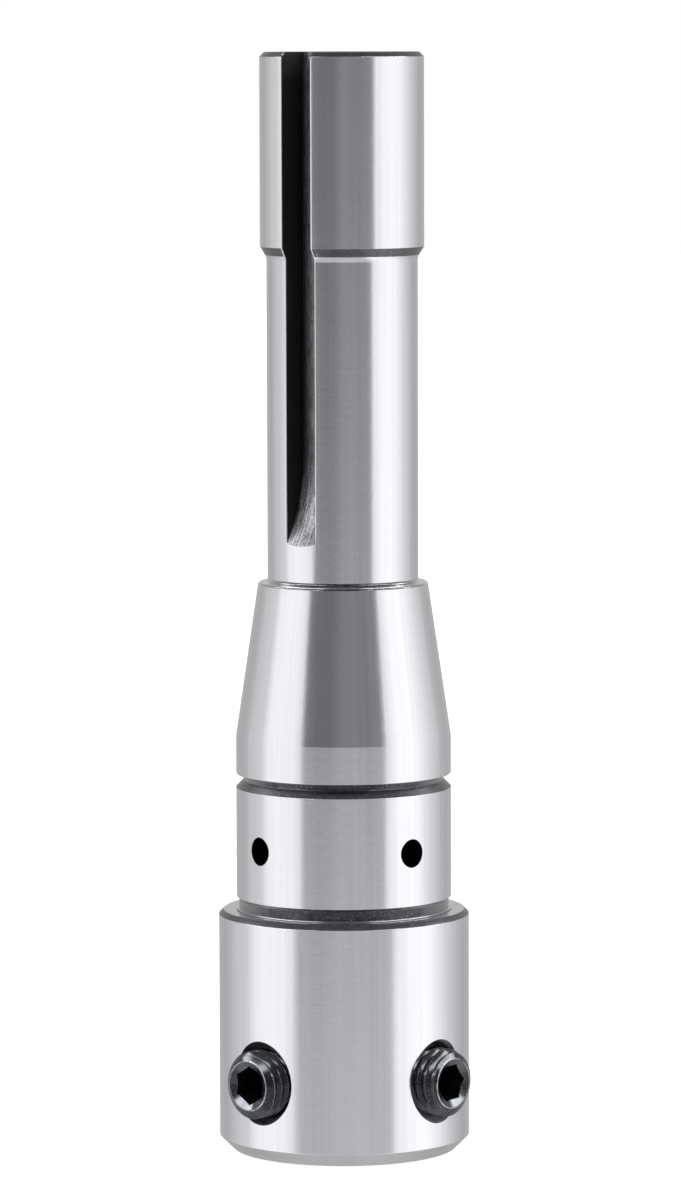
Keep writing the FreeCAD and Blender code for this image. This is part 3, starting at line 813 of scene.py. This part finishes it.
# Threads
def threaded_rod(name, profile, pitch, start, end, steps, material):
    """A closed rod whose rows follow the helix; the profile gives (share of a pitch, radius)."""
    turns = math.ceil((end - start) / pitch)
    period = len(profile)
    rows = turns * period + 1
    points = []
    for step in range(steps):
        share = step / steps
        for row in range(rows + period):
            lap, place_in_lap = divmod(row, period)
            offset, radius = profile[place_in_lap]
            height = start + (lap + offset + share) * pitch
            bearing = 2 * math.pi * share
            points.append((radius * math.cos(bearing), radius * math.sin(bearing), height))
    column = rows + period
    faces = []
    for step in range(steps - 1):
        for row in range(rows - 1):
            a = step * column + row
            faces.append((a, a + column, a + column + 1, a + 1))
    last = (steps - 1) * column
    for row in range(rows - 1):
        faces.append((last + row, row + period, row + period + 1, last + row + 1))
    low = len(points)
    points.append((0.0, 0.0, start))
    points.append((0.0, 0.0, start + (turns + 1) * pitch))
    low_loop = [step * column for step in range(steps)] + [row for row in range(period, 0, -1)]
    high_loop = [step * column + rows - 1 for step in range(steps)]
    high_loop += [rows - 1 + row for row in range(period, 0, -1)]
    for loop, hub in ((low_loop, low), (high_loop, low + 1)):
        for index, corner in enumerate(loop):
            faces.append((corner, loop[(index + 1) % len(loop)], hub))
    rod = new_object(name, points, faces)
    rod.data.materials.append(material)
    return rod


def screw_profile():
    """ISO thread of the set screws with slightly rubbed crests."""
    crest = SCREW_RADIUS
    root = SCREW_RADIUS - SCREW_THREAD_DEPTH
    return [(0.0, crest - 0.04), (0.04, crest), (0.11, crest), (0.15, crest - 0.04),
            (0.44, root + 0.05), (0.51, root), (0.64, root), (0.71, root + 0.05)]


def make_set_screw(side, material, rubbed, polished, socket_shade):
    """A hexagon-socket set screw with a real thread that runs out in its end bevels."""
    name = side + "_screw_threaded"
    screw = threaded_rod(name, screw_profile(), SCREW_PITCH, -3.0, SCREW_LENGTH + 3.0, 96, material)
    shoulder = SCREW_RADIUS - SCREW_POINT_RADIUS
    blank = lathe("blank", [
        (0.0, 0.0, 0, 1),
        (SCREW_POINT_RADIUS, 0.0, 0.1, 1),
        (SCREW_RADIUS + 0.01, shoulder, 0, 1),
        (SCREW_RADIUS + 0.01, SCREW_LENGTH - SCREW_RIM_BEVEL, 0, 1),
        (SCREW_RIM_RADIUS, SCREW_LENGTH, 0.3, 0),
        (0.0, SCREW_LENGTH, 0, 0),
    ], 96, [rubbed, material])
    combine(screw, blank, "INTERSECT")

    hexagon = []
    corner = HEX_WIDTH / 2 / math.cos(math.radians(30))
    for height in (SCREW_LENGTH - HEX_DEPTH, SCREW_LENGTH + 1.0):
        for step in range(6):
            turn = math.radians(60 * step + HEX_TURNS[side])
            hexagon.append((corner * math.cos(turn), corner * math.sin(turn), height))
    sides = [(step, (step + 1) % 6, (step + 1) % 6 + 6, step + 6) for step in range(6)]
    socket = new_object("hex_tool", hexagon, sides + [(5, 4, 3, 2, 1, 0), (6, 7, 8, 9, 10, 11)])
    # The socket's walls take the matt black painted shade.
    socket.data.materials.append(socket_shade)
    combine(screw, socket, "DIFFERENCE")

    slope = math.tan(math.radians(30))
    mouth = lathe("mouth_tool", [
        (0.0, SCREW_LENGTH - HEX_MOUTH_RADIUS * slope, 0, 0),
        (HEX_MOUTH_RADIUS + 1.0 / slope, SCREW_LENGTH + 1.0, 0, 0),
        (0.0, SCREW_LENGTH + 1.0, 0, 0),
    ], 96, [polished])
    combine(screw, mouth, "DIFFERENCE")

    reach = NOSE_RADIUS + SCREW_STAND_OUT - SCREW_LENGTH
    place(screw, radial_matrix(SCREW_BEARINGS[side], SCREW_HEIGHT, reach))
    smooth(screw, 28.0)
    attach(screw, side + "_screw")
    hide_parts(side + "_set_screw")
    return screw


def make_drawbar_thread(material):
    """The inner thread of the drawbar hole, a ridge wound on the hole's wall."""
    crest = DRAWBAR_THREAD_RADIUS
    wall = DRAWBAR_THREAD_RADIUS + DRAWBAR_THREAD_DEPTH + 0.02
    half_crest = 0.1
    half_base = 0.45
    steps = 48
    start = SHANK_TOP - DRAWBAR_DEPTH + 1.0
    end = SHANK_TOP - DRAWBAR_MOUTH_BEVEL
    count = int((end - start) / DRAWBAR_THREAD_PITCH * steps)
    points = []
    for index in range(count + 1):
        bearing = 2 * math.pi * index / steps
        height = start + DRAWBAR_THREAD_PITCH * index / steps
        fade = min(1.0, index / steps * 2, (count - index) / steps * 2)
        inner = wall - (wall - crest) * max(fade, 0.02)
        section = ((wall, -half_base), (inner, -half_crest), (inner, half_crest), (wall, half_base))
        for radius, shift in section:
            points.append((radius * math.cos(bearing), radius * math.sin(bearing), height + shift))
    faces = [(0, 1, 2, 3), tuple(len(points) - 4 + corner for corner in (3, 2, 1, 0))]
    for index in range(count):
        base = index * 4
        for corner in range(4):
            following = (corner + 1) % 4
            faces.append((base + corner, base + following, base + 4 + following, base + 4 + corner))
    thread = new_object("drawbar_thread", points, faces)
    thread.data.materials.append(material)
    smooth(thread, 40.0)
    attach(thread, "holder")
    return thread


# Ejector spring
def make_spring(material):
    """A compression spring with closed end coils, ground flat at both ends."""
    wire = SPRING_WIRE_RADIUS
    closed_rise = 2 * wire
    free_rise = CHAMBER_TOP - SPRING_FOOT - 2 * SPRING_CLOSED_COILS * closed_rise
    coils = SPRING_COILS + 2 * SPRING_CLOSED_COILS
    steps = 48
    around = 12
    points = []
    count = int(coils * steps)
    for index in range(count + 1):
        lap = index / steps
        low = min(lap, SPRING_CLOSED_COILS)
        high = max(0.0, lap - SPRING_CLOSED_COILS - SPRING_COILS)
        middle = min(max(0.0, lap - SPRING_CLOSED_COILS), SPRING_COILS)
        height = SPRING_FOOT + (low + high) * closed_rise + middle * free_rise / SPRING_COILS
        bearing = 2 * math.pi * lap
        for step in range(around):
            turn = 2 * math.pi * step / around
            radius = SPRING_MEAN_RADIUS + wire * math.cos(turn)
            level = height + wire * math.sin(turn)
            points.append((radius * math.cos(bearing), radius * math.sin(bearing), level))
    faces = [tuple(range(around)), tuple(count * around + step for step in reversed(range(around)))]
    for index in range(count):
        base = index * around
        for step in range(around):
            following = (step + 1) % around
            faces.append((base + step, base + following, base + around + following, base + around + step))
    spring = new_object("coil_spring", points, faces)
    spring.data.materials.append(material)
    space = lathe("space", [
        (0.0, SPRING_FOOT, 0, 0),
        (CHAMBER_RADIUS, SPRING_FOOT, 0, 0),
        (CHAMBER_RADIUS, CHAMBER_TOP, 0, 0),
        (0.0, CHAMBER_TOP, 0, 0),
    ], 48, [material])
    combine(spring, space, "INTERSECT")
    smooth(spring, 50.0)
    spring.modifiers.clear()
    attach(spring, "holder")
    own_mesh(spring)
    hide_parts("ejector_spring")
    return spring


def dress(node, material):
    """Give a solid of the frame its finish."""
    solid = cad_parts[node]
    solid.data.materials.clear()
    solid.data.materials.append(material)


# Studio
def make_floor():
    """A plain pale floor: white to the camera, with the object's soft shadow on it."""
    floor = new_object("floor", [(-3000, -3000, 0), (3000, -3000, 0), (3000, 3000, 0), (-3000, 3000, 0)],
                       [(0, 1, 2, 3)])
    material = new_material("pale_floor")
    tree = material.node_tree
    card = add_node(tree, "ShaderNodeBsdfDiffuse")
    card.inputs["Color"].default_value = (0.82, 0.82, 0.82, 1.0)
    lift = add_node(tree, "ShaderNodeEmission")
    lift.inputs["Color"].default_value = (1.0, 1.0, 1.0, 1.0)
    seen = add_node(tree, "ShaderNodeLightPath").outputs["Is Camera Ray"]
    feed(tree, lift.inputs["Strength"], math_node(tree, "MULTIPLY", seen, 0.4))
    both = add_node(tree, "ShaderNodeAddShader")
    tree.links.new(card.outputs[0], both.inputs[0])
    tree.links.new(lift.outputs[0], both.inputs[1])
    output = add_node(tree, "ShaderNodeOutputMaterial")
    tree.links.new(both.outputs[0], output.inputs["Surface"])
    floor.data.materials.append(material)
    floor.visible_glossy = False


def make_studio():
    """Soft light from all round: white panels to both sides, grey in front, white to the camera."""
    world = bpy.data.worlds.new("studio")
    bpy.context.scene.world = world
    world.use_nodes = True
    tree = world.node_tree
    tree.nodes.clear()
    way = add_node(tree, "ShaderNodeTexCoord").outputs["Generated"]
    axes = add_node(tree, "ShaderNodeSeparateXYZ")
    feed(tree, axes.inputs[0], way)

    def along(direction):
        dot = add_node(tree, "ShaderNodeVectorMath", operation="DOT_PRODUCT")
        feed(tree, dot.inputs[0], way)
        dot.inputs[1].default_value = direction
        return dot.outputs["Value"]

    front = along((math.sin(CAMERA_AZIMUTH), -math.cos(CAMERA_AZIMUTH), 0.0))
    right = along((math.cos(CAMERA_AZIMUTH), math.sin(CAMERA_AZIMUTH), 0.0))
    bearing = math_node(tree, "MULTIPLY", math_node(tree, "ARCTAN2", right, front), 180 / math.pi)
    elevation = math_node(tree, "MULTIPLY", math_node(tree, "ARCSINE", axes.outputs["Z"]), 180 / math.pi)

    def by_angle(angle, low, high, levels):
        """Brightness by an angle in degrees, through (angle, level) pairs."""
        stops = [((at - low) / (high - low), level) for at, level in levels]
        return ramp(tree, share_between(tree, angle, low, high), stops)

    # Upright panels to the left (-) and right (+) of the camera, which stands at bearing 0
    panels = by_angle(bearing, -180, 180, [
        (-180, 0.55), (-160, 0.5), (-140, 0.5), (-130, 0.58), (-120, 0.67), (-110, 0.75), (-99, 0.83),
        (-91, 1.1), (-80, 1.18), (-60, 1.16), (-46, 1.03),
        (46, 1.03), (60, 1.24), (72, 1.29), (88, 1.24), (100, 1.0), (110, 0.84), (120, 0.7), (130, 0.57),
        (140, 0.5), (160, 0.5), (180, 0.55)])
    # Between the panels: a pale table below the camera, a dim room above it
    room = by_angle(elevation, -90, 90, [
        (-90, 0.6), (-12, 0.62), (-9.5, 0.59), (-7.8, 0.5), (-5, 0.375), (-3.7, 0.32), (-1, 0.25),
        (2, 0.235), (17, 0.25), (90, 0.25)])
    shapes = by_angle(bearing, -50, 50, [
        (-40, 0.85), (-30, 0.72), (-20, 0.72), (-10, 0.82), (0, 1.06), (10, 1.06), (20, 1.03), (30, 1.04),
        (40, 1.1)])
    near_level = by_angle(elevation, -90, 90, [(-11, 0.1), (-3, 1.0)])
    unevenness = mix(tree, near_level, (1.03, 1.03, 1.03), shapes)
    opening = by_angle(bearing, -180, 180, [(-48, 0.0), (-43, 1.0), (43, 1.0), (48, 0.0)])
    # The panels are a little warmer than the room between them
    tint = mix(tree, opening, (1.0, 1.004, 0.986), (0.992, 0.996, 1.01))
    between_panels = combine_colours(tree, "MULTIPLY", room, unevenness)
    upright = combine_colours(tree, "MULTIPLY", mix(tree, opening, panels, between_panels), tint)
    # A long lamp above each panel, seen only by what faces up
    lamps = by_angle(bearing, -180, 180, [
        (-122, 0.4), (-114, 9.0), (-33, 9.0), (-28, 0.2), (28, 0.2), (33, 9.0), (114, 9.0), (122, 0.4)])
    hung = by_angle(elevation, -90, 90, [(26, 0.0), (29, 1.0), (37, 1.0), (40, 0.0)])
    room_above = by_angle(elevation, -90, 90, [(17, 0.0), (21, 1.0)])
    lit = mix(tree, hung, mix(tree, room_above, upright, (0.4, 0.4, 0.4)), lamps)
    light = mix(tree, by_angle(elevation, -90, 90, [(60, 0.0), (66, 1.0)]), lit, (0.35, 0.35, 0.35))

    shine = add_node(tree, "ShaderNodeBackground")
    feed(tree, shine.inputs["Color"], light)
    plain = add_node(tree, "ShaderNodeBackground")
    plain.inputs["Color"].default_value = (1.0, 1.0, 1.0, 1.0)
    choice = add_node(tree, "ShaderNodeMixShader")
    feed(tree, choice.inputs["Fac"], add_node(tree, "ShaderNodeLightPath").outputs["Is Camera Ray"])
    tree.links.new(shine.outputs[0], choice.inputs[1])
    tree.links.new(plain.outputs[0], choice.inputs[2])
    output = add_node(tree, "ShaderNodeOutputWorld")
    tree.links.new(choice.outputs[0], output.inputs["Surface"])


def make_camera():
    """The photograph's camera, level with the top of the shank and looking slightly down."""
    toward = Vector((math.sin(CAMERA_AZIMUTH), -math.cos(CAMERA_AZIMUTH), 0.0))
    right = Vector((math.cos(CAMERA_AZIMUTH), math.sin(CAMERA_AZIMUTH), 0.0))
    up = Vector((0.0, 0.0, 1.0))
    facing = Matrix((right, up, toward)).transposed()
    tilt = Matrix.Rotation(-CAMERA_TILT, 3, "X")
    roll = Matrix.Rotation(CAMERA_ROLL, 3, "Z")
    lens = bpy.data.cameras.new("camera")
    lens.sensor_fit = "VERTICAL"
    lens.sensor_height = SENSOR_HEIGHT
    lens.lens = CAMERA_LENS
    lens.clip_start = 0.01
    lens.clip_end = 20.0
    camera = bpy.data.objects.new("camera", lens)
    bpy.context.scene.collection.objects.link(camera)
    camera.matrix_world = (facing @ tilt @ roll).to_4x4()
    camera.location = toward * CAMERA_DISTANCE - right * CAMERA_LEFT + up * CAMERA_HEIGHT
    bpy.context.scene.camera = camera


# The last colour given to each scale finish is its painted sheen.
finishes = [
    # Unground shoulder: dark scale, with a strong painted sheen that makes its face light where it is seen
    # edge-on at the sides.
    scale_with_painted_sheen("unground_shoulder_and_painted_sheen", [(0.055, 0.054, 0.058), (0.09, 0.088, 0.093), (0.14, 0.138, 0.144)],
               (0.9, 0.9, 0.92), 0.16, 0.26),
    ground_steel(),
    turned_steel(),
    scale_with_painted_sheen("dull_bevel_and_painted_sheen", [(0.1, 0.096, 0.107), (0.118, 0.113, 0.127), (0.14, 0.134, 0.145)],
               (0.2, 0.2, 0.212)),
    scale_with_painted_sheen("hardening_scale_and_painted_sheen", [(0.05, 0.049, 0.057), (0.072, 0.071, 0.08), (0.098, 0.095, 0.1)],
               (0.44, 0.44, 0.447)),
    milled_keyway(),
    scale_with_painted_sheen("drilled_scale_and_painted_sheen", [(0.03, 0.03, 0.033), (0.045, 0.044, 0.048), (0.06, 0.057, 0.06)],
               (0.08, 0.08, 0.083)),
    # Lighter copy of the hardening scale for the right countersink: painted light.
    scale_with_painted_sheen("countersink_scale_painted_light_and_sheen", [(0.13, 0.128, 0.145), (0.18, 0.177, 0.2), (0.25, 0.245, 0.27)],
               (0.44, 0.44, 0.447)),
]
oxide = black_oxide("black_oxide_screw", (0.006, 0.0063, 0.0085))
polished = black_oxide("black_oxide_mouth", (0.01, 0.0103, 0.0125), 1.8)
rubbed = rubbed_rim()
socket_shade = socket_painted_shade()
make_arbor(finishes)
make_set_screw("left", oxide, rubbed, polished, socket_shade)
make_set_screw("right", oxide, rubbed, polished, socket_shade)
make_drawbar_thread(finishes[DULL])
make_spring(drawn_wire())
dress("ejector_plunger", hardened_pin())
dress("retaining_ring", black_oxide("black_oxide_ring", (0.012, 0.012, 0.014)))
make_floor()
make_studio()
make_camera()
bpy.context.scene.view_settings.view_transform = "Standard"
